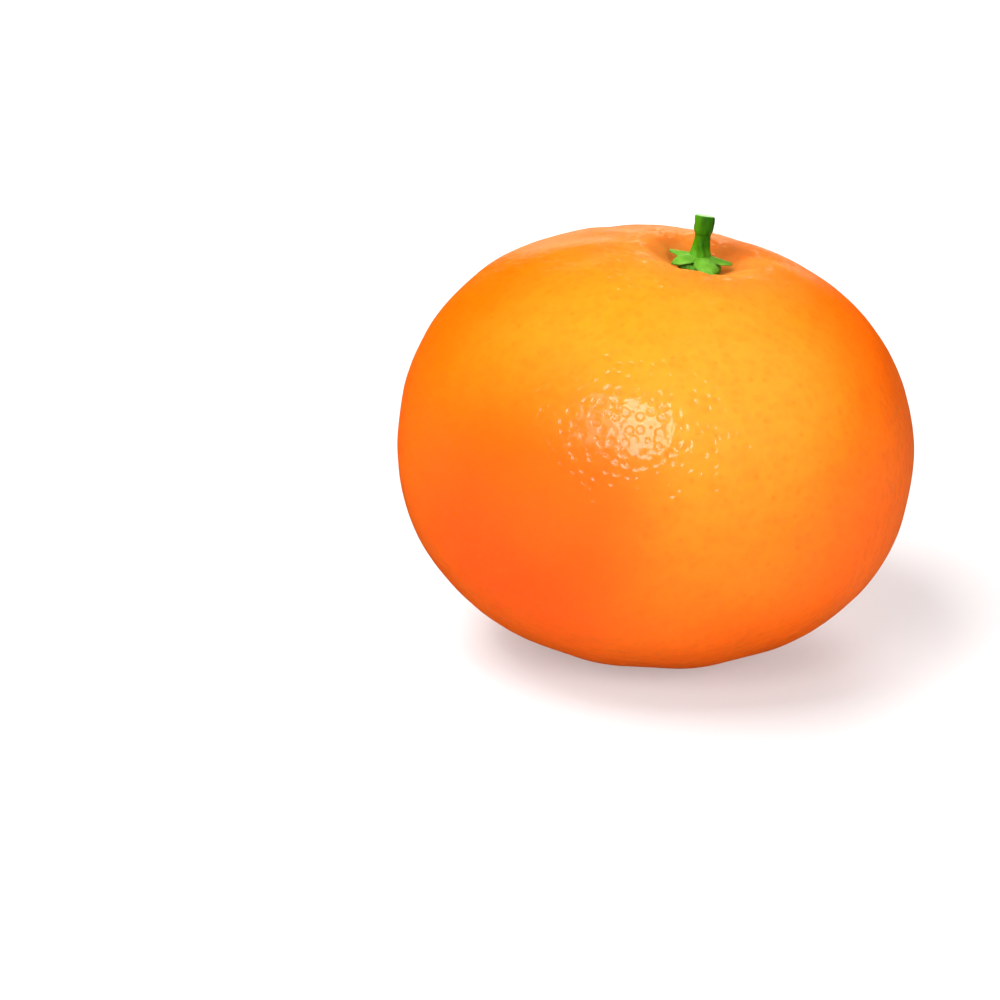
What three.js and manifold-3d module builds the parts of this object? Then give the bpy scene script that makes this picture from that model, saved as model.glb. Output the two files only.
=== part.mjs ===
// A whole mandarin with its peel on, resting on its flattened base.
// Millimetres, +Z up. The stem end is up and leans a little toward +X.
// Three pieces: the fruit, the star-shaped calyx in its stem dimple, and the cut stem.
import * as THREE from "three";
import { mergeVertices } from "three/addons/utils/BufferGeometryUtils.js";
import Module from "manifold-3d";

const { degToRad, lerp, seededRandom, smoothstep } = THREE.MathUtils;
const wasm = await Module();
wasm.setup();

// Fruit: driving dimensions.
const WIDTH = 66; // across the equator, along X
const DEPTH = 64.5; // across the equator, along Y
const HEIGHT = 53.8; // from blossom end to stem end, before the dimples
const FULLNESS = 2.23; // 2 is an ellipsoid, and more is squarer at the shoulders
const LEAN = 6.4; // degrees that the core leans toward +X, above the equator
const BASE_LEAN = 1; // what is left of it at the blossom end, because the core is bent
const SEGMENTS = 10; // the segments inside show as faint ribs in the peel
const RIB_HEIGHT = 0.14;
const RIB_BAND = [4, 12, 18, 30]; // distances from the core: none, full, still full, none again
const UNEVENNESS = [
  // slow waves over the round form: height, how many turns along X, Y and Z, and a shift
  { height: 0.13, along: [3.1, 0, 1.7], shift: 0.6 },
  { height: 0.13, along: [0, 2.7, -2.2], shift: 2 },
  { height: 0.1, along: [4.3, -3.6, 0], shift: 0 },
];

// Stem dimple: a bowl a little off the core's line, with the peel puckered round it.
const STEM_OFFSET = 2.5; // from the core toward +X
const DIMPLE_DEPTH = 3.2;
const DIMPLE_REACH = 5.4;
const DIMPLE_STEEPNESS = 2.7; // 2 is a soft bell, and more gives a flatter floor and steeper walls
const PUCKERS = 13;
const PUCKER_DEPTH = 0.28; // of the deepest
const PUCKER_WIDTH = 0.95;
const PUCKER_START = 2.6;
const PUCKER_END = 13; // of the longest
const PUCKER_SHALLOWEST = 0.45; // as a share of the deepest
const PUCKER_SHORTEST = 0.55; // as a share of the longest
const PUCKER_STRAY = 0.35; // how far one may stray, as a share of the step between two

// Blossom end: a small scar in a shallow hollow.
const HOLLOW_DEPTH = 0.7;
const HOLLOW_REACH = 2.8;

// Foot: the flat spot that the fruit stands on.
const FOOT_CUT = 1.2; // how much of the round base it takes away
const FOOT_BLEND = 0.7; // how softly the round base runs into it

// Calyx: a button with five sepals fused on it.
const CALYX_LEAN = 8.5; // degrees toward +X, square to the peel in the dimple
const GAP = 0.3; // between one piece and the next
const BUTTON_TOP = [
  // radius, height over the dimple's floor: rim, upper rim, shoulder, seat of the stem
  [2.7, 0.7],
  [2.5, 1.3],
  [1.6, 1.6],
  [0, 1.6],
];
const SEPAL_ROOT = 0.4; // from the calyx's middle
const SEPAL_ROOT_RISE = 0.35;
const SEPAL_THICKNESS = 0.85; // at its root
const SEPAL_TIP_THICKNESS = 0.6;
const SEPAL_WIDTH = 3.6; // at its widest
const SEPAL_ARCH = 0.5;
const SEPAL_DROOP = 0.07; // how fast its edges fall away from its middle line
const SEPALS = [
  // direction in degrees, length, and how far the tip turns up
  { turn: 85, length: 4.2, curl: 0.3 },
  { turn: 166, length: 4.3, curl: 0.6 },
  { turn: 221, length: 4.6, curl: 0 },
  { turn: 281, length: 4.3, curl: 0 },
  { turn: 357, length: 4.5, curl: 0.4 },
];

// Stem: ribbed, with a knob below its cut end.
const STEM_BASE = 1.9; // height of its foot over the dimple's floor
const STEM_RIBS = 5;
const STEM_RIB_DEPTH = 0.07; // as a share of the radius
const STEM_KNOB_RIBS = 0.4; // the share of that depth that is left on the knob
const STEM_STRAIGHTENS = 4.3; // degrees by which it stands up from the calyx's lean
const STEM_PROFILE = [
  // radius, height over the stem's foot
  [1.6, 0],
  [1.26, 0.55],
  [1.12, 1.5],
  [1.03, 2.6],
  [1.08, 3.15],
  [1.24, 3.75],
  [1.32, 4.45],
  [1.3, 5.05],
  [1.2, 5.2],
];

// How finely the faceted skins are cut.
const FRUIT_SIDES = 84;
const FRUIT_RINGS = 50;
const FRUIT_CROWDING = 0.4; // rings crowd toward the two ends by this share
const SEPAL_SIDES = 14;
const SEPAL_RINGS = 10;
const STEM_SIDES = 30;
const STEM_RINGS = 18;
const BUTTON_SIDES = 30;

const SEED = 7;

// Helpers.

// The greater of two numbers, with a rounded change from one to the other.
function smoothMax(a, b, blend) {
  const near = Math.max(blend - Math.abs(a - b), 0) / blend;
  return Math.max(a, b) + (near * near * blend) / 4;
}

function bell(distance, reach) {
  return Math.exp(-((distance / reach) ** 2));
}

// A closed skin through rings of points, with a point at each end.
// Seen from the first point, each ring runs anticlockwise.
function skinThrough(firstPoint, rings, lastPoint) {
  const sides = rings[0].length;
  const points = [firstPoint, ...rings.flat(), lastPoint];
  const last = points.length - 1;
  const at = (ring, side) => 1 + ring * sides + (side % sides);
  const faces = [];
  for (let side = 0; side < sides; side++) {
    faces.push(0, at(0, side), at(0, side + 1));
    for (let ring = 0; ring < rings.length - 1; ring++) {
      const a = at(ring, side);
      const b = at(ring, side + 1);
      const c = at(ring + 1, side + 1);
      const d = at(ring + 1, side);
      faces.push(a, d, c, a, c, b);
    }
    faces.push(last, at(rings.length - 1, side + 1), at(rings.length - 1, side));
  }
  return new THREE.BufferGeometry().setFromPoints(points).setIndex(faces);
}

function solidOf(geometry) {
  const bare = geometry.clone();
  bare.deleteAttribute("normal");
  bare.deleteAttribute("uv");
  const merged = mergeVertices(bare, 1e-4);
  return new wasm.Manifold(
    new wasm.Mesh({
      numProp: 3,
      vertProperties: merged.attributes.position.array,
      triVerts: new Uint32Array(merged.index.array),
    }),
  );
}

function geometryOf(solid) {
  const { vertProperties, triVerts } = solid.getMesh();
  const geometry = new THREE.BufferGeometry();
  geometry.setAttribute("position", new THREE.BufferAttribute(vertProperties, 3));
  return geometry.setIndex(new THREE.BufferAttribute(triVerts, 1));
}

function piece(name, geometry, colour, roughness) {
  geometry.computeVertexNormals();
  const material = new THREE.MeshStandardMaterial({ color: colour, roughness, metalness: 0 });
  const mesh = new THREE.Mesh(geometry, material);
  mesh.name = name;
  return mesh;
}

// Fruit.

// The creases that radiate from the stem: each has its own direction, depth and length.
function drawPuckers() {
  seededRandom(SEED);
  const step = (2 * Math.PI) / PUCKERS;
  return Array.from({ length: PUCKERS }, (_, i) => ({
    turn: (i + lerp(-PUCKER_STRAY, PUCKER_STRAY, seededRandom())) * step,
    depth: PUCKER_DEPTH * lerp(PUCKER_SHALLOWEST, 1, seededRandom()),
    end: PUCKER_END * lerp(PUCKER_SHORTEST, 1, seededRandom()),
  }));
}

const puckers = drawPuckers();

function dimpleDepth(out) {
  return DIMPLE_DEPTH * Math.exp(-((out / DIMPLE_REACH) ** DIMPLE_STEEPNESS));
}

// How far the creases sink the peel at a place given from the stem's foot.
function puckerDepth(x, y) {
  const out = Math.hypot(x, y);
  const turn = Math.atan2(y, x);
  let depth = 0;
  for (const pucker of puckers) {
    const off = Math.atan2(Math.sin(turn - pucker.turn), Math.cos(turn - pucker.turn));
    const start = smoothstep(out, PUCKER_START, 2 * PUCKER_START);
    const end = 1 - smoothstep(out, pucker.end / 2, pucker.end);
    depth += pucker.depth * start * end * bell(off * out, PUCKER_WIDTH);
  }
  return depth;
}

// How far the slow waves raise the peel in a direction from the fruit's middle.
function unevenness(direction) {
  return UNEVENNESS.reduce(
    (sum, { height, along, shift }) =>
      sum + height * Math.sin(direction.dot(new THREE.Vector3(...along)) + shift),
    0,
  );
}

// The ribs that the segments make near the blossom end and below the shoulders.
function ribHeight(x, y, z) {
  const out = Math.hypot(x, y);
  const [none, full, stillFull, noneAgain] = RIB_BAND;
  const strength = smoothstep(out, none, full) * (1 - smoothstep(out, stillFull, noneAgain));
  return RIB_HEIGHT * strength * Math.cos(SEGMENTS * Math.atan2(y, x)) * Math.sign(z);
}

// The peel's point in a direction from the fruit's middle, with Z along the core.
function peelPoint(direction) {
  const across = Math.hypot(direction.x / (WIDTH / 2), direction.y / (DEPTH / 2));
  const along = Math.abs(direction.z) / (HEIGHT / 2);
  const radius = (across ** FULLNESS + along ** FULLNESS) ** (-1 / FULLNESS);
  const point = direction.clone().multiplyScalar(radius + unevenness(direction));
  point.z += ribHeight(point.x, point.y, point.z);
  if (point.z > 0) {
    const fromStem = point.x - STEM_OFFSET;
    point.z -= dimpleDepth(Math.hypot(fromStem, point.y));
    point.z -= puckerDepth(fromStem, point.y);
  } else {
    point.z += HOLLOW_DEPTH * bell(Math.hypot(point.x, point.y), HOLLOW_REACH);
  }
  return point;
}

// Leans a point of the upright fruit as far as the core leans at its height.
function lean(point) {
  const angle = lerp(BASE_LEAN, LEAN, smoothstep(point.z, -HEIGHT / 2, 0));
  return point.applyAxisAngle(new THREE.Vector3(0, 1, 0), degToRad(angle));
}

const stemDirection = new THREE.Vector3(STEM_OFFSET, 0, HEIGHT / 2).normalize();
const stemFoot = lean(peelPoint(stemDirection)); // on the floor of the dimple

// Directions in rings round the stem, crowded toward the stem and the blossom end.
function fruitDirections() {
  const turned = new THREE.Quaternion().setFromUnitVectors(new THREE.Vector3(0, 0, 1), stemDirection);
  const direction = (polar, azimuth) =>
    new THREE.Vector3(
      Math.sin(polar) * Math.cos(azimuth),
      Math.sin(polar) * Math.sin(azimuth),
      Math.cos(polar),
    ).applyQuaternion(turned);
  const rings = [];
  for (let i = 1; i < FRUIT_RINGS; i++) {
    const share = i / FRUIT_RINGS;
    const polar = Math.PI * share - (FRUIT_CROWDING / 2) * Math.sin(2 * Math.PI * share);
    rings.push(
      Array.from({ length: FRUIT_SIDES }, (_, side) => direction(polar, (2 * Math.PI * side) / FRUIT_SIDES)),
    );
  }
  return { top: direction(0, 0), rings, bottom: direction(Math.PI, 0) };
}

function makeFruit() {
  const { top, rings, bottom } = fruitDirections();
  const place = (direction) => lean(peelPoint(direction));
  const placed = [place(top), rings.map((ring) => ring.map(place)), place(bottom)];
  const lowest = Math.min(...placed.flat(2).map((point) => point.z));
  const ground = lowest + FOOT_CUT;
  for (const point of placed.flat(2)) {
    point.z = smoothMax(point.z, ground, FOOT_BLEND) - ground;
  }
  return { geometry: skinThrough(...placed), ground };
}

// Calyx, in the frame of the stem's foot, with Z square to the peel there.

// Height of the dimple's floor under a place on the calyx.
function bowlHeight(out) {
  return DIMPLE_DEPTH - dimpleDepth(out);
}

function makeButton() {
  const [[radius]] = BUTTON_TOP;
  const underside = [0, 0.35, 0.7, 0.95].map((share) => [
    share * radius,
    GAP + bowlHeight(share * radius),
  ]);
  const profile = [...underside, ...BUTTON_TOP].map(([out, height]) => new THREE.Vector2(out, height));
  return new THREE.LatheGeometry(profile, BUTTON_SIDES).rotateX(Math.PI / 2); // its Y axis becomes Z
}

// One sepal: an arched blade, widest near its root, that ends in a point.
function makeSepal({ length, curl }) {
  const halfThickness = (share) => lerp(SEPAL_THICKNESS, SEPAL_TIP_THICKNESS, share) / 2;
  const middle = (share) => {
    const out = lerp(SEPAL_ROOT, length, share);
    const rest = GAP + halfThickness(share) + bowlHeight(out);
    const arch = SEPAL_ARCH * Math.sin(Math.PI * share) + SEPAL_ROOT_RISE * (1 - share);
    return new THREE.Vector3(out, 0, rest + arch + curl * smoothstep(share, 0.6, 1));
  };
  // The outline is a skewed half wave, cut off at the root.
  const halfWidth = (share) => (SEPAL_WIDTH / 2) * Math.sin(Math.PI * lerp(0.3, 1, share) ** 1.5) ** 0.8;
  const rings = [];
  for (let i = 1; i < SEPAL_RINGS; i++) {
    const share = Math.sin((Math.PI / 2) * (i / SEPAL_RINGS)); // closer together toward the tip
    const centre = middle(share);
    const wide = halfWidth(share);
    rings.push(
      Array.from({ length: SEPAL_SIDES }, (_, side) => {
        const angle = (2 * Math.PI * side) / SEPAL_SIDES;
        const up = Math.sign(Math.sin(angle)) * Math.abs(Math.sin(angle)) ** 0.6;
        const y = -wide * Math.cos(angle);
        return new THREE.Vector3(centre.x, y, centre.z + halfThickness(share) * up - SEPAL_DROOP * y * y);
      }),
    );
  }
  return skinThrough(middle(0), rings, middle(1));
}

function makeCalyx() {
  let calyx = solidOf(makeButton());
  for (const sepal of SEPALS) {
    calyx = calyx.add(solidOf(makeSepal(sepal).rotateZ(degToRad(sepal.turn))));
  }
  return geometryOf(calyx);
}

// Stem, in the same frame.
function makeStem() {
  const side = new THREE.SplineCurve(
    STEM_PROFILE.map(([radius, height]) => new THREE.Vector2(radius, height)),
  );
  const top = STEM_PROFILE.at(-1)[1];
  const shift = Math.tan(degToRad(STEM_STRAIGHTENS));
  const centre = (height) => new THREE.Vector3(-height * shift, 0, STEM_BASE + height);
  const rings = side
    .getPoints(STEM_RINGS)
    .reverse() // from the cut end down
    .map(({ x: radius, y: height }) =>
      Array.from({ length: STEM_SIDES }, (_, i) => {
        const angle = (2 * Math.PI * i) / STEM_SIDES;
        const ribs = STEM_RIB_DEPTH * lerp(1, STEM_KNOB_RIBS, smoothstep(height, top / 2, top));
        const out = radius * (1 + ribs * Math.cos(STEM_RIBS * angle));
        return new THREE.Vector3(out * Math.cos(angle), out * Math.sin(angle), 0).add(centre(height));
      }),
    );
  return skinThrough(centre(top), rings, centre(0));
}

// The object, with its origin in the middle of its outline on the resting surface.
const { geometry: fruitSkin, ground } = makeFruit();
const mandarin = new THREE.Group();
mandarin.add(piece("fruit", fruitSkin, "#f58a1c", 0.45));

const stemEnd = new THREE.Group();
stemEnd.position.copy(stemFoot);
stemEnd.position.z -= ground;
stemEnd.rotation.y = degToRad(CALYX_LEAN);
stemEnd.add(piece("calyx", makeCalyx(), "#6db53a", 0.6));
stemEnd.add(piece("stem", makeStem(), "#3f8a1c", 0.6));
mandarin.add(stemEnd);

mandarin.updateMatrixWorld(true);
const middle = new THREE.Box3().setFromObject(mandarin, true).getCenter(new THREE.Vector3());
mandarin.position.set(-middle.x, -middle.y, 0);

export default mandarin;
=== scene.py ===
# The looks of a whole mandarin: pored orange peel, a green star-shaped calyx and a cut stem.
import math

import bpy
from mathutils import Matrix, Vector


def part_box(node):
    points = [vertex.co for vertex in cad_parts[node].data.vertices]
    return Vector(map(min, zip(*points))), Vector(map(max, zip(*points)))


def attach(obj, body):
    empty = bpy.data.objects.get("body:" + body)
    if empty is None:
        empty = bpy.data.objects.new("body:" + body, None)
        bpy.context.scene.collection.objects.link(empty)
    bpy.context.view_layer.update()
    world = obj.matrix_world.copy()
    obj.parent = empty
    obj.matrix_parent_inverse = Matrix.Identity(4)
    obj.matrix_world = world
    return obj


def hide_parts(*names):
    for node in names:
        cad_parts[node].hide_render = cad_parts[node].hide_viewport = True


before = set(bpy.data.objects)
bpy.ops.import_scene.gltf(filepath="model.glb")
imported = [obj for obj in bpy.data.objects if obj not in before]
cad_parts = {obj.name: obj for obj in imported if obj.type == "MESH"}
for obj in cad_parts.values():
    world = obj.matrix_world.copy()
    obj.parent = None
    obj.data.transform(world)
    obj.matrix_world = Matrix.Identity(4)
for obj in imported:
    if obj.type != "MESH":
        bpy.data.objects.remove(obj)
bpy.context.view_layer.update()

MM = 0.001

# Where things are on the fruit, in metres.
CALYX_FOOT = Vector((5.23, -0.02, 48.8)) * MM  # the floor of the stem dimple
CALYX_LEAN = math.radians(8.5)  # toward +X, square to the peel in the dimple
STEM_LEAN = math.radians(4.2)  # the stem stands up a little straighter
# Paler cheek: partly the rind's own tone, partly painted light where the lamps fall on the front; the
# rind deepens toward the edges as painted shade.
PALE_LIT_CHEEK = Vector((2, -27, 41)) * MM
# Deeper red cheek: partly riper rind, partly painted shade and bounced light from things beside the
# fruit.
RIPE_AND_SHADED_CHEEK = Vector((-15, -26, 26)) * MM
# Painted shadow of the stem, on the wall of its hollow.
STEM_SHADOW_PATCH = Vector((9.4, 6, 50.4)) * MM
# Painted sheen: a paler, yellower patch where a broad soft gloss would show.
PAINTED_SHEEN_PATCH = Vector((11, -24, 41)) * MM
WORN_WAX = Vector((6.5, -4, 50.5)) * MM
BLOSSOM_END = Vector((-0.4, 0, 0)) * MM

# Camera: the middle of the fruit shows at this pixel of a frame of 1000 by 1000.
FRAME_PIXELS = 1000
FRUIT_MIDDLE = Vector((0.09, -0.02, 25.48)) * MM
FRUIT_SEEN_AT = (654, 443)
FOCAL_LENGTH_PIXELS = 3739
CAMERA_DISTANCE = 0.48
CAMERA_ELEVATION = math.radians(20)
SENSOR_WIDTH = 36  # millimetres


# Small helpers.

def colour(hex_code):
    """An sRGB colour in hex, as the linear colour that a shader takes."""
    shares = [int(hex_code[i : i + 2], 16) / 255 for i in (1, 3, 5)]
    linear = [c / 12.92 if c <= 0.04045 else ((c + 0.055) / 1.055) ** 2.4 for c in shares]
    return (*linear, 1)


def add(tree, kind, inputs=None, **settings):
    """Adds a node. Each input is a value, another node or one of its outputs."""
    node = tree.nodes.new(kind)
    for name, value in settings.items():
        setattr(node, name, value)
    for key, value in (inputs or {}).items():
        if isinstance(key, int):
            socket = node.inputs[key]
        else:
            socket = next(s for s in node.inputs if s.enabled and s.name == key)
        if isinstance(value, bpy.types.Node):
            value = next(s for s in value.outputs if s.enabled)
        if isinstance(value, bpy.types.NodeSocket):
            tree.links.new(value, socket)
        else:
            socket.default_value = value
    return node


def distance_from(tree, place, point):
    """How far a place is from a point."""
    return add(
        tree, "ShaderNodeVectorMath", {0: place, 1: point}, operation="DISTANCE"
    ).outputs["Value"]


def between(tree, value, low, high, at_low=0.0, at_high=1.0):
    """Runs smoothly from at_low to at_high as value runs from low to high."""
    return add(
        tree,
        "ShaderNodeMapRange",
        {"Value": value, "From Min": low, "From Max": high, "To Min": at_low, "To Max": at_high},
        interpolation_type="SMOOTHSTEP",
    )


def tint(tree, under, share, hex_code):
    """Lays a colour over what is under it, by its share."""
    return add(
        tree,
        "ShaderNodeMix",
        {"Factor": share, "A": under, "B": colour(hex_code)},
        data_type="RGBA",
    )


def clear_selection():
    bpy.ops.object.select_all(action="DESELECT")


def select_points(piece, wanted):
    """Goes into edit mode with just those points selected whose place passes the test."""
    bpy.ops.object.mode_set(mode="EDIT")
    bpy.ops.mesh.select_mode(type="VERT")
    bpy.ops.mesh.select_all(action="DESELECT")
    bpy.ops.object.mode_set(mode="OBJECT")
    for point in piece.data.vertices:
        point.select = wanted(point.co)
    bpy.ops.object.mode_set(mode="EDIT")


def apply_modifiers(piece):
    bpy.context.view_layer.objects.active = piece
    for modifier in list(piece.modifiers):
        bpy.ops.object.modifier_apply(modifier=modifier.name)


def shape_modifier(piece, name, build):
    """Moves a piece's points by the offset that build makes from their place and normal."""
    tree = bpy.data.node_groups.new(name, "GeometryNodeTree")
    tree.interface.new_socket("Mesh", in_out="INPUT", socket_type="NodeSocketGeometry")
    tree.interface.new_socket("Mesh", in_out="OUTPUT", socket_type="NodeSocketGeometry")
    mesh_in = add(tree, "NodeGroupInput")
    place = add(tree, "GeometryNodeInputPosition").outputs["Position"]
    outward = add(tree, "GeometryNodeInputNormal").outputs["Normal"]
    offset = build(tree, place, outward)
    moved = add(tree, "GeometryNodeSetPosition", {"Geometry": mesh_in, "Offset": offset})
    add(tree, "NodeGroupOutput", {"Mesh": moved})
    modifier = piece.modifiers.new(name, "NODES")
    modifier.node_group = tree


def finish_piece(piece, name, node):
    """Names a piece, smooths it, and lets it stand for its CAD node."""
    clear_selection()
    piece.select_set(True)
    bpy.context.view_layer.objects.active = piece
    bpy.ops.object.transform_apply(location=True, rotation=True, scale=True)
    bpy.ops.object.shade_smooth()
    piece.name = name
    piece.data.name = name
    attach(piece, "root")
    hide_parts(node)
    return piece


# Peel.

PEEL_ROUNDS = 7  # each halves the faces of the starting cube
WELD = 0.001  # millimetres within which points of the CAD fruit are one point
LUMP_SIZE = 7
LUMP_DEPTH = 0.16
PORE_SPACING = 1.3  # millimetres between the middles of oil glands
PORE_FLOOR = 0.3  # radius of a pore's flat floor, in millimetres
PORE_RADIUS = 0.7
PORE_DEPTH = 0.095  # of the deepest
PORE_SHALLOWEST = 0.55  # as a share of the deepest
PORE_DEPTH_IN_MESH = 0.012  # what the mesh carries of it, and the bump adds the rest
SPECK_SPACING = 3.1
SPECK_RADIUS = 0.52
WRINKLE_SIZE = 1.8
WRINKLE_HEIGHT = 0.5  # of the wrinkles close to the stem
SWELLS = [
    # where the peel swells a little, how far the swelling reaches, and its height
    ((2.5, 12.4, 50.7), 4.5, 0.28),
    ((-7.3, 10.5, 51.2), 5, 0.17),
    ((11, 9.5, 49.9), 4, 0.1),
    ((-20.2, 8, 47.9), 8, 0.27),
    ((24.6, 7.5, 42.8), 7, 0.12),
    ((33, -2, 22), 18, 0.24),
]
BLOTCH_SIZE = 14
MOTTLE_SIZE = 2.2
MOTTLE_SHARE = 0.12  # how much of the gland colour shows in the mottles
PORE_SHARE = 0.12  # and over each gland
SPECK_SHARE = 0.3  # and in the specks
RIPPLE_SIZE = 1.15
RIPPLE_HEIGHT = 0.125
WAX_PATCH_SIZE = 2.4
WAX_COVER = 0.3  # how much the wax shines where it is whole


def pores_in_skin(tree, place, outward, spacing, floor, radius):
    """Round pores: up to 1 on the floor of each and 0 between them. Lengths are in millimetres.

    A pattern of cells fills space. Each cell's middle is a gland, and a gland that lies close
    to the skin makes a round pore above it, smaller the farther off the gland is.
    """
    cells = add(
        tree,
        "ShaderNodeTexVoronoi",
        {"Vector": place, "Scale": 1 / (spacing * MM), "Randomness": 0.75},
    )
    to_gland = add(
        tree, "ShaderNodeVectorMath", {0: place, 1: cells.outputs["Position"]}, operation="SUBTRACT"
    )
    depth = add(
        tree, "ShaderNodeVectorMath", {0: to_gland, 1: outward}, operation="DOT_PRODUCT"
    ).outputs["Value"]
    down = add(tree, "ShaderNodeVectorMath", {0: outward, "Scale": depth}, operation="SCALE")
    sideways = add(
        tree, "ShaderNodeVectorMath", {0: to_gland, 1: down}, operation="DISTANCE"
    ).outputs["Value"]
    depth = add(tree, "ShaderNodeMath", {0: depth}, operation="ABSOLUTE")
    size = between(tree, depth, 0.3 * spacing * MM, 0.5 * spacing * MM, 1.0, 0.0)
    # A shrinking pore is the same circle seen from farther out, so the distance is what grows.
    grown = add(tree, "ShaderNodeMath", {0: 1.0, 1: size}, operation="SUBTRACT")
    reach = add(
        tree,
        "ShaderNodeMath",
        {0: grown, 1: radius * MM, 2: sideways},
        operation="MULTIPLY_ADD",
    )
    pore = between(tree, reach, floor * MM, radius * MM, 1.0, 0.0)
    chance = add(tree, "ShaderNodeSeparateXYZ", {"Vector": cells.outputs["Color"]}).outputs["X"]
    share = between(tree, chance, 0.0, 1.0, PORE_SHALLOWEST, 1.0)
    return add(tree, "ShaderNodeMath", {0: pore, 1: share}, operation="MULTIPLY")


def peel_relief(tree, place, outward):
    """Pores sink into the mesh, slow lumps raise and lower it, and it wrinkles near the stem."""
    pores = pores_in_skin(tree, place, outward, PORE_SPACING, PORE_FLOOR, PORE_RADIUS)
    lumps = add(
        tree,
        "ShaderNodeTexNoise",
        {"Vector": place, "Scale": 1 / (LUMP_SIZE * MM), "Detail": 1.0, "Roughness": 0.4},
    )
    lump = add(
        tree,
        "ShaderNodeMapRange",
        {"Value": lumps, "From Min": 0.25, "From Max": 0.75, "To Min": -LUMP_DEPTH * MM, "To Max": 0.0},
    )
    wrinkles = add(
        tree, "ShaderNodeTexNoise", {"Vector": place, "Scale": 1 / (WRINKLE_SIZE * MM), "Detail": 1.0}
    )
    near_stem = between(
        tree, distance_from(tree, place, CALYX_FOOT), 4 * MM, 13 * MM, WRINKLE_HEIGHT * MM, 0.0
    )
    for middle, reach, height in SWELLS:
        from_middle = distance_from(tree, place, Vector(middle) * MM)
        swell = between(tree, from_middle, 0.0, reach * MM, height * MM, 0.0)
        lump = add(tree, "ShaderNodeMath", {0: lump, 1: swell}, operation="ADD")
    wrinkle = add(
        tree, "ShaderNodeMath", {0: wrinkles.outputs["Fac"], 1: 0.5}, operation="SUBTRACT"
    )
    height = add(
        tree, "ShaderNodeMath", {0: wrinkle, 1: near_stem, 2: lump}, operation="MULTIPLY_ADD"
    )
    height = add(
        tree,
        "ShaderNodeMath",
        {0: pores, 1: -PORE_DEPTH_IN_MESH * MM, 2: height},
        operation="MULTIPLY_ADD",
    )
    return add(tree, "ShaderNodeVectorMath", {0: outward, "Scale": height}, operation="SCALE")


def make_smooth_fruit():
    """A finely rounded copy of the CAD fruit, for the peel to be wrapped on."""
    clear_selection()
    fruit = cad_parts["fruit"]
    fruit.select_set(True)
    bpy.context.view_layer.objects.active = fruit
    bpy.ops.object.duplicate()
    smooth = bpy.context.object
    bpy.ops.object.mode_set(mode="EDIT")
    bpy.ops.mesh.select_all(action="SELECT")
    bpy.ops.mesh.remove_doubles(threshold=WELD * MM)
    bpy.ops.mesh.tris_convert_to_quads(face_threshold=math.pi, shape_threshold=math.pi)
    bpy.ops.object.mode_set(mode="OBJECT")
    rounding = smooth.modifiers.new("rounding", "SUBSURF")
    rounding.levels = 2
    rounding.render_levels = 2
    apply_modifiers(smooth)
    return smooth


def make_peel():
    low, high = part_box("fruit")
    smooth = make_smooth_fruit()
    clear_selection()
    bpy.ops.mesh.primitive_cube_add(size=high.x - low.x, location=(low + high) / 2)
    peel = bpy.context.object
    bpy.ops.object.mode_set(mode="EDIT")
    for _ in range(PEEL_ROUNDS):
        bpy.ops.mesh.subdivide(number_cuts=1)
        bpy.ops.transform.tosphere(value=1)
    size = high - low
    ball = size.x * math.sqrt(3)  # the corners of the cube set how wide the ball is
    bpy.ops.transform.resize(value=(size.x / ball, size.y / ball, size.z / ball))
    bpy.ops.object.mode_set(mode="OBJECT")
    bpy.ops.object.transform_apply(location=True, rotation=True, scale=True)
    wrap = peel.modifiers.new("wrap", "SHRINKWRAP")
    wrap.target = smooth
    wrap.wrap_method = "PROJECT"
    wrap.use_negative_direction = True
    shape_modifier(peel, "peel_relief", peel_relief)
    apply_modifiers(peel)
    bpy.data.objects.remove(smooth)
    peel.data.materials.clear()
    peel.data.materials.append(make_peel_material())
    return finish_piece(peel, "peel", "fruit")


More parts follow.
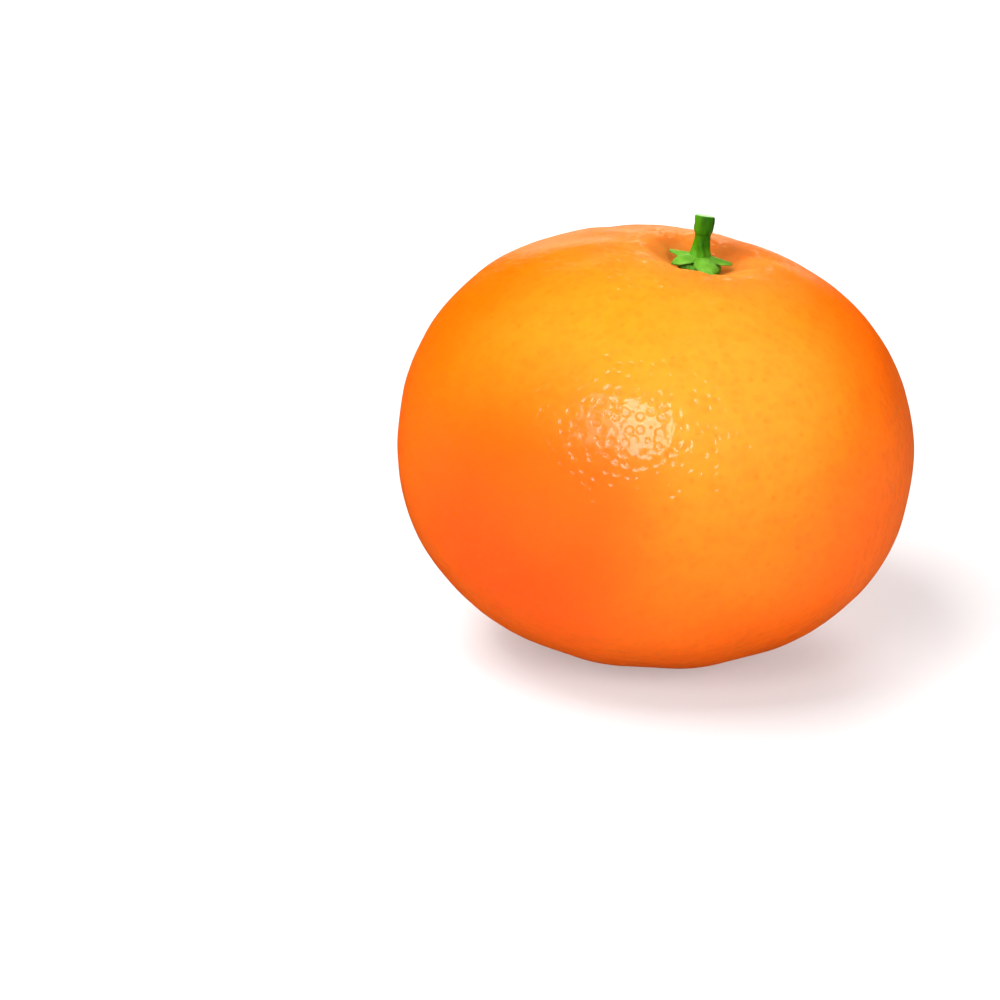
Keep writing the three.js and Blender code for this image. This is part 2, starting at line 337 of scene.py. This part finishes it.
def make_peel_material():
    """Ripe mandarin rind: a thin waxy skin over translucent orange flesh, dotted with oil glands.

    The wax gives a soft sheen with a clear highlight, and each gland is a small pit in it.
    """
    material = bpy.data.materials.new("waxy_mandarin_rind")
    material.use_nodes = True
    tree = material.node_tree
    tree.nodes.clear()
    coordinates = add(tree, "ShaderNodeTexCoord")
    place, outward = coordinates.outputs["Object"], coordinates.outputs["Normal"]

    # Pigment and painted light: one cheek is a paler orange, in slow blotches, and the rest is deeper.
    # This is partly the rind's own tone and partly painted light on the lit front and painted shade
    # toward the edges.
    # A paler patch is a painted sheen. The far cheek is riper, and partly darkened as painted shade.
    # Round the stem the rind is painted darker as shade in its hollow, with a painted shadow of the stem
    # beside it.
    # A brown scar marks the blossom end.
    blotches = add(
        tree,
        "ShaderNodeTexNoise",
        {"Vector": place, "Scale": 1 / (BLOTCH_SIZE * MM), "Detail": 2.0, "Roughness": 0.5},
    )
    from_lit_cheek = add(
        tree,
        "ShaderNodeMath",
        {0: blotches.outputs["Fac"], 1: 12 * MM, 2: distance_from(tree, place, PALE_LIT_CHEEK)},
        operation="MULTIPLY_ADD",
    )
    # Painted light and shade: paler near the lit front cheek, deeper toward the shaded edges.
    deeper_and_shaded = between(tree, from_lit_cheek, 16 * MM, 46 * MM)
    skin = tint(tree, colour("#fa861a"), deeper_and_shaded, "#f26000")
    # Painted sheen: a paler, yellower patch on the right of the front.
    painted_sheen = between(tree, distance_from(tree, place, PAINTED_SHEEN_PATCH), 3 * MM, 19 * MM, 1.0, 0.0)
    skin = tint(tree, skin, painted_sheen, "#fb8c26")
    # Deeper red on this cheek: partly riper rind, partly painted shade and bounced light from things
    # beside the fruit.
    from_ripe_and_shaded = add(
        tree,
        "ShaderNodeMath",
        {0: blotches.outputs["Fac"], 1: 8 * MM, 2: distance_from(tree, place, RIPE_AND_SHADED_CHEEK)},
        operation="MULTIPLY_ADD",
    )
    ripe_and_shade = between(tree, from_ripe_and_shaded, 12 * MM, 28 * MM, 0.65, 0.0)
    skin = tint(tree, skin, ripe_and_shade, "#ee4000")
    # Painted shade: the rind is darker and duller round the stem, in its hollow and on the near crest.
    stem_hollow_shade = between(tree, distance_from(tree, place, CALYX_FOOT), 5 * MM, 17 * MM, 0.8, 0.0)
    skin = tint(tree, skin, stem_hollow_shade, "#a86a28")
    # Painted shadow of the stem: a brown patch on the hollow's wall beside it.
    painted_stem_shadow = between(tree, distance_from(tree, place, STEM_SHADOW_PATCH), 2 * MM, 5.5 * MM, 0.5, 0.0)
    skin = tint(tree, skin, painted_stem_shadow, "#7c3a18")
    scar = between(tree, distance_from(tree, place, BLOSSOM_END), 1.1 * MM, 1.9 * MM, 0.8, 0.0)
    skin = tint(tree, skin, scar, "#6c4420")

    # Glands: the oil under each pore shows a little darker, and here and there a good deal. The
    # rind between them is faintly mottled with the same colour.
    pores = pores_in_skin(tree, place, outward, PORE_SPACING, PORE_FLOOR, PORE_RADIUS)
    specks = pores_in_skin(tree, place, outward, SPECK_SPACING, 0, SPECK_RADIUS)
    mottles = add(
        tree,
        "ShaderNodeTexNoise",
        {"Vector": place, "Scale": 1 / (MOTTLE_SIZE * MM), "Detail": 2.0, "Roughness": 0.6},
    )
    gland = between(tree, mottles.outputs["Fac"], 0.4, 0.65, 0.0, MOTTLE_SHARE)
    for pits, share in ((pores, PORE_SHARE), (specks, SPECK_SHARE)):
        gland = add(tree, "ShaderNodeMath", {0: pits, 1: share, 2: gland}, operation="MULTIPLY_ADD")
    skin = tint(tree, skin, gland, "#d85808")

    # Relief, in millimetres: the rest of each pore, and a fine unevenness between pores.
    ripple = add(
        tree,
        "ShaderNodeTexNoise",
        {"Vector": place, "Scale": 1 / (RIPPLE_SIZE * MM), "Detail": 1.0, "Roughness": 0.5},
    )
    pitted = add(
        tree, "ShaderNodeMath", {0: pores, 1: PORE_DEPTH_IN_MESH - PORE_DEPTH}, operation="MULTIPLY"
    )
    relief = add(
        tree,
        "ShaderNodeMath",
        {0: ripple.outputs["Fac"], 1: RIPPLE_HEIGHT, 2: pitted},
        operation="MULTIPLY_ADD",
    )
    flesh_bump = add(tree, "ShaderNodeBump", {"Strength": 0.09, "Height": relief, "Distance": MM})
    wax_bump = add(tree, "ShaderNodeBump", {"Height": relief, "Distance": MM})

    # Wax: round the stem it has worn off, but for some small patches.
    from_worn = distance_from(tree, place, WORN_WAX)
    patches = add(
        tree,
        "ShaderNodeTexNoise",
        {"Vector": place, "Scale": 1 / (WAX_PATCH_SIZE * MM), "Detail": 1.0, "Roughness": 0.5},
    )
    lost = between(tree, patches.outputs["Fac"], 0.54, 0.62, -0.28, -0.08)
    worn = between(tree, from_worn, 10 * MM, 14 * MM, 1.0, 0.0)
    wax = add(tree, "ShaderNodeMath", {0: worn, 1: lost, 2: WAX_COVER}, operation="MULTIPLY_ADD")
    roughness = between(tree, from_worn, 10 * MM, 15 * MM, 0.9, 0.45)

    shader = add(
        tree,
        "ShaderNodeBsdfPrincipled",
        {
            "Base Color": skin,
            "Roughness": roughness,
            "IOR": 1.45,
            "Specular IOR Level": 0.15,
            "Subsurface Weight": 0.4,
            "Subsurface Radius": (1.0, 0.3, 0.06),
            "Subsurface Scale": 4 * MM,
            "Coat Weight": wax,
            "Coat Roughness": 0.1,
            "Coat IOR": 1.8,
            "Normal": flesh_bump,
            "Coat Normal": wax_bump,
        },
    )
    add(tree, "ShaderNodeOutputMaterial", {"Surface": shader})
    return material


# Calyx and stem, in the frame of the calyx's foot: Z is square to the peel there.

BUTTON_RADIUS = 2.8  # millimetres, as are the lengths below
BUTTON_HALF_HEIGHT = 0.85
BUTTON_MIDDLE = 0.75  # its height over the foot
BUTTON_BUMP_SIZE = 0.5
SEPAL_STATIONS = [
    # out from the middle, height of the middle, half width, half thickness
    (0.4, 2.05, 0.55, 0.4),
    (1.3, 2.05, 1.3, 0.36),
    (2.1, 2.0, 1.85, 0.32),
    (2.9, 1.85, 1.72, 0.29),
    (3.6, 1.6, 1.2, 0.26),
    (4.1, 1.42, 0.8, 0.22),
    (4.4, 1.36, 0.5, 0.17),
]
SEPAL_SIDES = 12
SEPAL_TIP = 0.15  # how much of its length is lifted as its tip
SEPAL_BEND = 2  # how far back from the tip the lift is felt
SEPALS = [
    # direction in degrees, length and width as shares, how far the tip turns up, and how fast
    # the edges fall away from the middle line, per millimetre
    (85, 0.95, 0.8, 0.3, 0.2),
    (166, 0.96, 0.5, 0.6, 0.3),
    (207, 0.91, 0.84, -0.25, 0.14),
    (288, 1.0, 0.98, -0.4, 0.2),
    (356, 0.92, 0.54, 0.4, 0.3),
]
CALYX_GRAIN = 0.09  # size of a face after the parts of the calyx have grown together

STEM_FOOT_HEIGHT = 1.9
STEM_STATIONS = [
    # height, how far the middle has moved toward +X, radius
    (-0.7, -0.35, 1.6),
    (-0.2, -0.3, 1.38),
    (0.3, -0.22, 1.25),
    (0.9, -0.14, 1.13),
    (1.7, -0.06, 1.04),
    (2.6, 0.0, 0.98),
    (3.2, -0.02, 0.98),
    (3.32, -0.02, 1.1),
    (3.45, -0.02, 1.18),
    (4.3, -0.02, 1.25),
    (5.2, 0.0, 1.26),
    (5.5, 0.0, 1.22),
    (5.58, 0.0, 1.1),
]
CUT_HEIGHT = 5.5
CUT_EDGE = 0.35  # how far below the cut its tilt begins
CUT_RIM = 0.12
CUT_HOLLOW = 0.03  # how far the cut face lies under its rim
CUT_PITH = 0.4  # how far the middle of the cut face is from its rim
CUT_TILTS = (math.radians(11), math.radians(-4))  # the cut falls away to the back and to +X
CUT_NORMAL = Vector((0.07, 0.19, 0.98))
STEM_SIDES = 40
STEM_RIBS = 5
STEM_RIB_TURN = math.radians(65)
STEM_RIB_TWIST = 0.25  # radians per millimetre of height
STEM_RIB_HEIGHTS = (0.2, 0.04)  # at the foot and on the knob
STEM_BUMP_SIZE = 0.9
STEM_BUMP_HEIGHT = 0.25
FIBRE_SIZE = 0.5


def make_sepal():
    """A thick blade along +X, drawn out from its root to its tip."""
    clear_selection()
    out, height, wide, thick = SEPAL_STATIONS[0]
    bpy.ops.mesh.primitive_circle_add(
        vertices=SEPAL_SIDES, radius=MM, location=(out * MM, 0, height * MM), rotation=(0, math.pi / 2, 0)
    )
    sepal = bpy.context.object
    bpy.ops.object.transform_apply(location=True, rotation=True, scale=True)
    bpy.ops.object.mode_set(mode="EDIT")
    bpy.ops.mesh.select_all(action="SELECT")
    bpy.ops.transform.resize(value=(1, wide, thick))
    bpy.ops.mesh.edge_face_add()
    for (x, z, w, t), (next_x, next_z, next_w, next_t) in zip(SEPAL_STATIONS, SEPAL_STATIONS[1:]):
        step = ((next_x - x) * MM, 0, (next_z - z) * MM)
        bpy.ops.mesh.extrude_region_move(TRANSFORM_OT_translate={"value": step})
        bpy.ops.transform.resize(value=(1, next_w / w, next_t / t))
    bpy.ops.mesh.select_all(action="SELECT")
    bpy.ops.mesh.normals_make_consistent(inside=False)
    bpy.ops.object.mode_set(mode="OBJECT")
    return sepal


def copy_sepal(sepal, turn, long, wide, rise, droop):
    """A sepal of its own shape: its edges hang down, and its tip turns up."""
    clear_selection()
    sepal.select_set(True)
    bpy.context.view_layer.objects.active = sepal
    bpy.ops.object.duplicate()
    copy = bpy.context.object
    tip = SEPAL_STATIONS[-1][0] * MM
    select_points(copy, lambda place: place.x > tip - SEPAL_TIP * MM)
    bpy.ops.transform.translate(
        value=(0, 0, rise * MM),
        use_proportional_edit=True,
        proportional_edit_falloff="SMOOTH",
        proportional_size=SEPAL_BEND * MM,
    )
    bpy.ops.object.mode_set(mode="OBJECT")
    copy.scale = (long, wide, 1)
    bpy.ops.object.transform_apply(location=True, rotation=True, scale=True)

    def hang_edges(tree, place, outward):
        """Lowers points by the square of how far they are from the middle line."""
        aside = add(tree, "ShaderNodeSeparateXYZ", {"Vector": place}).outputs["Y"]
        fall = add(tree, "ShaderNodeMath", {0: aside, 1: aside}, operation="MULTIPLY")
        fall = add(tree, "ShaderNodeMath", {0: fall, 1: -droop / MM}, operation="MULTIPLY")
        return add(tree, "ShaderNodeCombineXYZ", {"Z": fall})

    shape_modifier(copy, "hanging_edges", hang_edges)
    rounding = copy.modifiers.new("rounding", "SUBSURF")
    rounding.levels = 2
    apply_modifiers(copy)
    copy.rotation_euler.z = math.radians(turn)
    bpy.ops.object.transform_apply(location=True, rotation=True, scale=True)
    return copy


def make_calyx():
    """A bumpy button under five sepals, grown together into one skin."""
    clear_selection()
    bpy.ops.mesh.primitive_uv_sphere_add(
        segments=48, ring_count=24, radius=BUTTON_RADIUS * MM, location=(0, 0, BUTTON_MIDDLE * MM)
    )
    calyx = bpy.context.object
    calyx.scale.z = BUTTON_HALF_HEIGHT / BUTTON_RADIUS
    bpy.ops.object.transform_apply(location=True, rotation=True, scale=True)
    sepal = make_sepal()
    for shape in SEPALS:
        copy = copy_sepal(sepal, *shape)
        clear_selection()
        copy.select_set(True)
        calyx.select_set(True)
        bpy.context.view_layer.objects.active = calyx
        bpy.ops.object.join()
    bpy.data.objects.remove(sepal)
    grown = calyx.modifiers.new("grown_together", "REMESH")
    grown.mode = "VOXEL"
    grown.voxel_size = CALYX_GRAIN * MM
    softened = calyx.modifiers.new("softened", "SMOOTH")
    softened.iterations = 4
    shape_modifier(calyx, "calyx_relief", calyx_relief)
    apply_modifiers(calyx)
    calyx.matrix_world = calyx_frame()
    calyx.data.materials.clear()
    calyx.data.materials.append(make_calyx_material())
    return finish_piece(calyx, "calyx_star", "calyx")


def calyx_frame():
    return Matrix.Translation(CALYX_FOOT) @ Matrix.Rotation(CALYX_LEAN, 4, "Y")


def calyx_relief(tree, place, outward):
    """Small bumps on the button, and hardly any on the sepals."""
    bumps = add(
        tree, "ShaderNodeTexNoise", {"Vector": place, "Scale": 1 / (BUTTON_BUMP_SIZE * MM), "Detail": 1.0}
    )
    parts = add(tree, "ShaderNodeSeparateXYZ", {"Vector": place})
    share = between(tree, parts.outputs["Z"], 1.0 * MM, 1.6 * MM, 0.7, 0.12)
    height = add(tree, "ShaderNodeMath", {0: bumps.outputs["Fac"], 1: 0.5}, operation="SUBTRACT")
    height = add(tree, "ShaderNodeMath", {0: height, 1: share}, operation="MULTIPLY")
    height = add(tree, "ShaderNodeMath", {0: height, 1: MM}, operation="MULTIPLY")
    return add(tree, "ShaderNodeVectorMath", {0: outward, "Scale": height}, operation="SCALE")


def make_calyx_material():
    """Fresh sepals: light leaf green with a soft waxy sheen, darker low down on the button."""
    material = bpy.data.materials.new("fresh_green_sepal")
    material.use_nodes = True
    tree = material.node_tree
    tree.nodes.clear()
    place = add(tree, "ShaderNodeTexCoord").outputs["Object"]
    own = add(
        tree,
        "ShaderNodeMapping",
        {"Vector": place, "Location": CALYX_FOOT, "Rotation": (0, CALYX_LEAN, 0)},
        vector_type="TEXTURE",
    )
    height = add(tree, "ShaderNodeSeparateXYZ", {"Vector": own}).outputs["Z"]
    mottle = add(
        tree, "ShaderNodeTexNoise", {"Vector": own, "Scale": 1 / (1.6 * MM), "Detail": 2.0}
    )
    fresh = between(tree, mottle.outputs["Fac"], 0.35, 0.7)
    green = tint(tree, colour("#528620"), fresh, "#649a30")
    low = between(tree, height, 0.8 * MM, 1.5 * MM, 1.0, 0.0)
    green = tint(tree, green, low, "#3a7814")
    shader = add(
        tree,
        "ShaderNodeBsdfPrincipled",
        {
            "Base Color": green,
            "Roughness": 0.5,
            "IOR": 1.45,
            "Specular IOR Level": 0.35,
            "Subsurface Weight": 0.2,
            "Subsurface Radius": (0.4, 1.0, 0.2),
            "Subsurface Scale": 0.6 * MM,
        },
    )
    add(tree, "ShaderNodeOutputMaterial", {"Surface": shader})
    return material


def make_stem():
    """A ribbed stalk that flares into the calyx, with a knob under its cut end."""
    clear_selection()
    height, aside, radius = STEM_STATIONS[0]
    bpy.ops.mesh.primitive_circle_add(
        vertices=STEM_SIDES,
        radius=radius * MM,
        fill_type="NGON",
        location=(aside * MM, 0, height * MM),
    )
    stem = bpy.context.object
    bpy.ops.object.transform_apply(location=True, rotation=True, scale=True)
    bpy.ops.object.mode_set(mode="EDIT")
    bpy.ops.mesh.select_all(action="SELECT")
    for station in STEM_STATIONS[1:]:
        step = ((station[1] - aside) * MM, 0, (station[0] - height) * MM)
        bpy.ops.mesh.extrude_region_move(TRANSFORM_OT_translate={"value": step})
        share = station[2] / radius
        bpy.ops.transform.resize(value=(share, share, 1))
        height, aside, radius = station
    bpy.ops.mesh.inset(thickness=CUT_RIM * MM, depth=-CUT_HOLLOW * MM)
    bpy.ops.mesh.inset(thickness=CUT_PITH * MM, depth=0)
    bpy.ops.mesh.poke()
    bpy.ops.object.mode_set(mode="OBJECT")
    select_points(stem, lambda place: place.z > (CUT_HEIGHT - CUT_EDGE) * MM)
    for tilt, axis in zip(CUT_TILTS, "XY"):
        bpy.ops.transform.rotate(
            value=tilt, orient_axis=axis, center_override=(0, 0, CUT_HEIGHT * MM)
        )
    bpy.ops.mesh.select_all(action="SELECT")
    bpy.ops.mesh.normals_make_consistent(inside=False)
    bpy.ops.object.mode_set(mode="OBJECT")
    rounding = stem.modifiers.new("rounding", "SUBSURF")
    rounding.levels = 2
    shape_modifier(stem, "stem_relief", stem_relief)
    apply_modifiers(stem)
    foot = calyx_frame() @ Vector((0, 0, STEM_FOOT_HEIGHT * MM))
    stem.matrix_world = Matrix.Translation(foot) @ Matrix.Rotation(STEM_LEAN, 4, "Y")
    stem.data.materials.clear()
    stem.data.materials.append(make_stem_material(foot))
    return finish_piece(stem, "cut_stem", "stem")


def stem_relief(tree, place, outward):
    """Ribs that turn slowly round the stalk and fade on the knob, and a fine unevenness."""
    parts = add(tree, "ShaderNodeSeparateXYZ", {"Vector": place})
    x, y, z = (parts.outputs[axis] for axis in "XYZ")
    angle = add(tree, "ShaderNodeMath", {0: y, 1: x}, operation="ARCTAN2")
    twist = add(
        tree,
        "ShaderNodeMath",
        {0: z, 1: STEM_RIB_TWIST / MM, 2: angle},
        operation="MULTIPLY_ADD",
    )
    wave = add(
        tree,
        "ShaderNodeMath",
        {0: twist, 1: float(STEM_RIBS), 2: -STEM_RIBS * STEM_RIB_TURN},
        operation="MULTIPLY_ADD",
    )
    wave = add(tree, "ShaderNodeMath", {0: wave}, operation="COSINE")
    at_foot, on_knob = (rib_height * MM for rib_height in STEM_RIB_HEIGHTS)
    rib = between(tree, z, 0.5 * MM, 3.4 * MM, at_foot, on_knob)
    wave = add(tree, "ShaderNodeMath", {0: wave, 1: rib}, operation="MULTIPLY")
    bumps = add(
        tree, "ShaderNodeTexNoise", {"Vector": place, "Scale": 1 / (STEM_BUMP_SIZE * MM), "Detail": 2.0}
    )
    bumps = add(tree, "ShaderNodeMath", {0: bumps.outputs["Fac"], 1: 0.5}, operation="SUBTRACT")
    height = add(
        tree, "ShaderNodeMath", {0: bumps, 1: STEM_BUMP_HEIGHT * MM, 2: wave}, operation="MULTIPLY_ADD"
    )
    out = add(tree, "ShaderNodeVectorMath", {0: outward, 1: (1, 1, 0)}, operation="MULTIPLY")
    return add(tree, "ShaderNodeVectorMath", {0: out, "Scale": height}, operation="SCALE")


def make_stem_material(foot):
    """Green stalk: dark and fibrous, with painted light on one side, lighter at its foot, and pale at the
    cut.
    """
    material = bpy.data.materials.new("green_stalk")
    material.use_nodes = True
    tree = material.node_tree
    tree.nodes.clear()
    place = add(tree, "ShaderNodeTexCoord").outputs["Object"]
    own = add(
        tree,
        "ShaderNodeMapping",
        {"Vector": place, "Location": foot, "Rotation": (0, STEM_LEAN, 0)},
        vector_type="TEXTURE",
    )
    fibres = add(
        tree,
        "ShaderNodeTexNoise",
        {
            "Vector": add(
                tree, "ShaderNodeVectorMath", {0: own, 1: (1, 1, 0.2)}, operation="MULTIPLY"
            ),
            "Scale": 1 / (FIBRE_SIZE * MM),
            "Detail": 2.0,
        },
    )
    fresh = between(tree, fibres.outputs["Fac"], 0.35, 0.65)
    green = tint(tree, colour("#164800"), fresh, "#266200")
    parts = add(tree, "ShaderNodeSeparateXYZ", {"Vector": own})
    height = parts.outputs["Z"]
    # Painted light: the stalk's -X side is lighter, as if lit from there.
    painted_lit_side = between(tree, parts.outputs["X"], -1.2 * MM, 0.4 * MM, 0.75, 0.0)
    green = tint(tree, green, painted_lit_side, "#488a08")
    low = between(tree, height, 0.2 * MM, 2.0 * MM, 0.8, 0.0)
    green = tint(tree, green, low, "#4c8c16")
    over_cut = add(
        tree, "ShaderNodeVectorMath", {0: own, 1: CUT_NORMAL}, operation="DOT_PRODUCT"
    ).outputs["Value"]
    cut_plane = CUT_HEIGHT * MM * CUT_NORMAL.z
    cut = between(tree, over_cut, cut_plane - 0.02 * MM, cut_plane + 0.05 * MM)
    green = tint(tree, green, cut, "#8fae74")
    shader = add(
        tree,
        "ShaderNodeBsdfPrincipled",
        {
            "Base Color": green,
            "Roughness": 0.5,
            "IOR": 1.45,
            "Specular IOR Level": 0.2,
            "Subsurface Weight": 0.1,
            "Subsurface Radius": (0.4, 1.0, 0.2),
            "Subsurface Scale": 0.4 * MM,
        },
    )
    add(tree, "ShaderNodeOutputMaterial", {"Surface": shader})
    return material


# Stage: a pale floor, a white room and soft lamps.

FLOOR_SIDES = 96
FLOOR_RADIUS = 0.85  # metres, as are the lengths of the lamps below
SHEEN_COLOUR = (1, 0.9, 0.62)


def make_floor():
    clear_selection()
    bpy.ops.mesh.primitive_circle_add(vertices=FLOOR_SIDES, radius=FLOOR_RADIUS, fill_type="NGON")
    floor = bpy.context.object
    floor.name = "floor"
    material = bpy.data.materials.new("white_floor")
    material.use_nodes = True
    tree = material.node_tree
    tree.nodes.clear()
    shader = add(
        tree,
        "ShaderNodeBsdfPrincipled",
        {
            "Base Color": (0.4, 0.4, 0.4, 1),
            "Roughness": 1.0,
            "Specular IOR Level": 0.0,
            "Emission Color": (1, 1, 1, 1),
            "Emission Strength": 0.35,
        },
    )
    add(tree, "ShaderNodeOutputMaterial", {"Surface": shader})
    floor.data.materials.append(material)
    floor.visible_glossy = False  # the wax would turn white along the underside
    floor.visible_shadow = False  # two of the lamps reach below it


def make_room():
    world = bpy.data.worlds.new("room")
    world.use_nodes = True
    tree = world.node_tree
    tree.nodes.clear()
    background = add(tree, "ShaderNodeBackground", {"Color": (1, 1, 1, 1), "Strength": 1.0})
    add(tree, "ShaderNodeOutputWorld", {"Surface": background})
    bpy.context.scene.world = world
    # The walls only show behind the floor. The lamps and the floor's faint glow light the fruit.
    world.cycles_visibility.diffuse = False
    world.cycles_visibility.glossy = False  # the wax would turn grey along its edges


def make_lamp(name, turn, rise, distance, size, power, height=None):
    """A soft lamp that faces the fruit. Turn is in degrees from the front toward +X."""
    lamp = bpy.data.lights.new(name, "AREA")
    lamp.shape = "RECTANGLE"
    lamp.size = size
    lamp.size_y = height or size
    lamp.energy = power
    stand = bpy.data.objects.new(name, lamp)
    turn, rise = math.radians(turn), math.radians(rise)
    toward = Vector((math.sin(turn) * math.cos(rise), -math.cos(turn) * math.cos(rise), math.sin(rise)))
    stand.location = FRUIT_MIDDLE + toward * distance
    stand.rotation_euler = toward.to_track_quat("Z", "Y").to_euler()
    stand.visible_camera = False
    bpy.context.scene.collection.objects.link(stand)
    return stand


def make_lamps():
    """Soft lamps round the fruit give it its form, and others show only as gleams in the wax."""
    make_lamp("back", turn=180, rise=17, distance=0.9, size=0.5, power=16.5).visible_glossy = False
    make_lamp("right", turn=45, rise=22, distance=0.9, size=0.5, power=5.7).visible_glossy = False
    make_lamp("left", turn=-75, rise=65, distance=0.9, size=0.5, power=10.6).visible_glossy = False
    make_lamp("front", turn=-30, rise=35, distance=0.9, size=0.5, power=7).visible_glossy = False
    windows = [
        make_lamp("window", turn=-4, rise=34, distance=0.7, size=0.29, height=0.4, power=3.3),
        make_lamp("side_window", turn=-26, rise=35, distance=0.7, size=0.18, height=0.3, power=0.42),
    ]
    sheens = [
        make_lamp("low_sheen", turn=180, rise=4, distance=0.9, size=0.38, height=0.32, power=0.4),
        make_lamp("high_sheen", turn=173, rise=25, distance=0.9, size=0.16, height=0.3, power=0.54),
        make_lamp("rim_sheen", turn=118, rise=-28, distance=0.9, size=1.6, height=0.6, power=0.34),
    ]
    for lamp in windows + sheens:
        lamp.visible_diffuse = False
    for lamp in sheens:
        lamp.data.color = SHEEN_COLOUR


def make_camera():
    camera = bpy.data.cameras.new("camera")
    camera.sensor_width = SENSOR_WIDTH
    camera.lens = FOCAL_LENGTH_PIXELS / FRAME_PIXELS * SENSOR_WIDTH
    camera.clip_start = 0.01
    stand = bpy.data.objects.new("camera", camera)
    ahead = Vector((0, math.cos(CAMERA_ELEVATION), -math.sin(CAMERA_ELEVATION)))
    right = Vector((1, 0, 0))
    up = right.cross(ahead)
    stand.location = FRUIT_MIDDLE - ahead * CAMERA_DISTANCE
    # The camera turns off the fruit, so that the fruit shows off the middle of the frame.
    off_right = FRUIT_SEEN_AT[0] - FRAME_PIXELS / 2
    off_down = FRUIT_SEEN_AT[1] - FRAME_PIXELS / 2
    aim = ahead * FOCAL_LENGTH_PIXELS - right * off_right + up * off_down
    stand.rotation_euler = aim.to_track_quat("-Z", "Y").to_euler()
    bpy.context.scene.collection.objects.link(stand)
    bpy.context.scene.camera = stand


make_camera()
make_floor()
make_room()
make_lamps()
bpy.context.scene.view_settings.view_transform = "Standard"
make_peel()
make_calyx()
make_stem()
